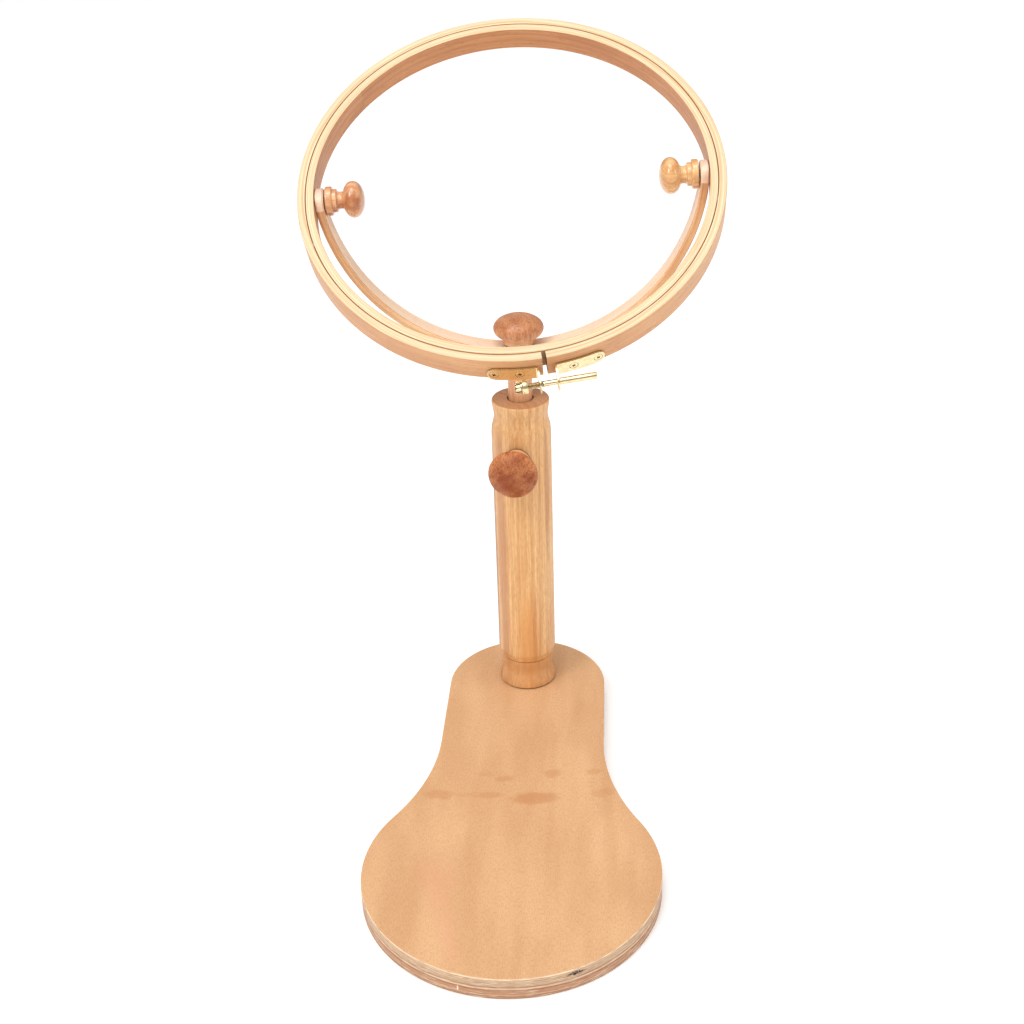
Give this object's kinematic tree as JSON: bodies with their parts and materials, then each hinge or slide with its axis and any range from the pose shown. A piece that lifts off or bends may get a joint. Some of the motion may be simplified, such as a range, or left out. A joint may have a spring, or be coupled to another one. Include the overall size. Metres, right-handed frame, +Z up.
{
  "type": "embroidery hoop on stand",
  "caption": "Tilting wooden embroidery hoop in a bent yoke, on a height-adjustable column that stands on a paddle-shaped board the user sits on.",
  "frame": {"origin": "on the underside of the board, on the column's axis", "axes": "+Z up along the column, -Y towards the user and the board's wide end, +X to the user's right"},
  "size_m": [0.2647, 0.4159, 0.4586],
  "materials": {
    "plywood": "satin lacquered beech plywood",
    "beech": "satin lacquered steamed beech",
    "pale_beech": "smooth pale bentwood",
    "stained_beech": "satin reddish brown turned beech",
    "golden_beech": "glossy golden turned beech",
    "brass": "bright brass plating",
    "steel": "zinc plated"
  },
  "bodies": {
    "stand": {"base_board": "plywood", "column": "beech", "column_screw_1": "steel", "column_screw_2": "steel", "column_screw_3": "steel", "column_insert": "brass"},
    "height_screw": {"height_knob_stud": "steel"},
    "height_knob": {"height_knob": "stained_beech"},
    "rod": {"slide_rod": "beech", "rod_insert": "brass"},
    "yoke": {"yoke": "beech"},
    "yoke_screw": {"yoke_knob_stud": "steel"},
    "yoke_knob": {"yoke_knob": "stained_beech"},
    "hoop": {"inner_hoop": "pale_beech", "pivot_bolt_left": "steel", "pivot_bolt_right": "steel"},
    "side_bush_left": {"side_knob_insert_left": "brass"},
    "side_knob_left": {"side_knob_left": "stained_beech"},
    "side_bush_right": {"side_knob_insert_right": "brass"},
    "side_knob_right": {"side_knob_right": "golden_beech"},
    "outer_hoop": {"outer_hoop": "pale_beech", "bracket_left": "brass", "bracket_right": "brass", "bracket_screw_1": "brass", "bracket_screw_2": "brass", "bracket_screw_3": "brass", "bracket_screw_4": "brass", "tension_bolt": "brass"},
    "tension_nut": {"tension_nut": "brass"}
  },
  "joints": [
    {"name": "height_slide", "type": "slide", "parent": "stand", "child": "rod", "axis": [0, 0, 1], "range_m": [-0.03, 0.1]},
    {"name": "height_screw_travel", "type": "slide", "parent": "stand", "child": "height_screw", "axis": [-0.0872, -0.9962, 0], "range_m": [0, 0.0021]},
    {"name": "height_knob_turn", "type": "hinge", "parent": "height_screw", "child": "height_knob", "pos_m": [-0.00177, -0.02022, 0.1982], "axis": [-0.0872, -0.9962, 0], "range_deg": [0, 720]},
    {"name": "yoke_swivel", "type": "hinge", "parent": "rod", "child": "yoke", "pos_m": [0, 0, 0.27], "axis": [0, 0, 1], "continuous": true},
    {"name": "yoke_screw_travel", "type": "slide", "parent": "rod", "child": "yoke_screw", "axis": [0, 0, 1], "range_m": [0, 0.0021]},
    {"name": "yoke_knob_turn", "type": "hinge", "parent": "yoke_screw", "child": "yoke_knob", "pos_m": [0, 0, 0.27376], "axis": [0, 0, 1], "range_deg": [0, 720]},
    {"name": "hoop_tilt", "type": "hinge", "parent": "yoke", "child": "hoop", "pos_m": [-0.002, 0, 0.3768], "axis": [0.9975, 0.0488, 0.0506], "range_deg": [-110, 40]},
    {"name": "side_bush_left_travel", "type": "slide", "parent": "hoop", "child": "side_bush_left", "axis": [0.9975, 0.0488, 0.0506], "range_m": [0, 0.0017]},
    {"name": "side_knob_left_turn", "type": "hinge", "parent": "side_bush_left", "child": "side_knob_left", "pos_m": [-0.11696, -0.00562, 0.37097], "axis": [0.9975, 0.0488, 0.0506], "range_deg": [0, 720]},
    {"name": "side_bush_right_travel", "type": "slide", "parent": "hoop", "child": "side_bush_right", "axis": [-0.9975, -0.0488, -0.0506], "range_m": [0, 0.0017]},
    {"name": "side_knob_right_turn", "type": "hinge", "parent": "side_bush_right", "child": "side_knob_right", "pos_m": [0.11296, 0.00562, 0.38263], "axis": [-0.9975, -0.0488, -0.0506], "range_deg": [0, 720]},
    {"name": "outer_hoop_lift_off", "type": "slide", "parent": "hoop", "child": "outer_hoop", "axis": [-0.0137, -0.5706, 0.8211], "range_m": [0, 0.03]},
    {"name": "tension_nut_turn", "type": "hinge", "parent": "outer_hoop", "child": "tension_nut", "pos_m": [0.02351, -0.11207, 0.29398], "axis": [0.9836, 0.1399, 0.1137], "continuous": true}
  ],
  "couplings": [
    {"joint": "height_screw_travel", "follows": "height_knob_turn", "m_per_rad": 0.00015915},
    {"joint": "yoke_screw_travel", "follows": "yoke_knob_turn", "m_per_rad": 0.00015915},
    {"joint": "side_bush_left_travel", "follows": "side_knob_left_turn", "m_per_rad": 0.00012732},
    {"joint": "side_bush_right_travel", "follows": "side_knob_right_turn", "m_per_rad": 0.00012732}
  ]
}
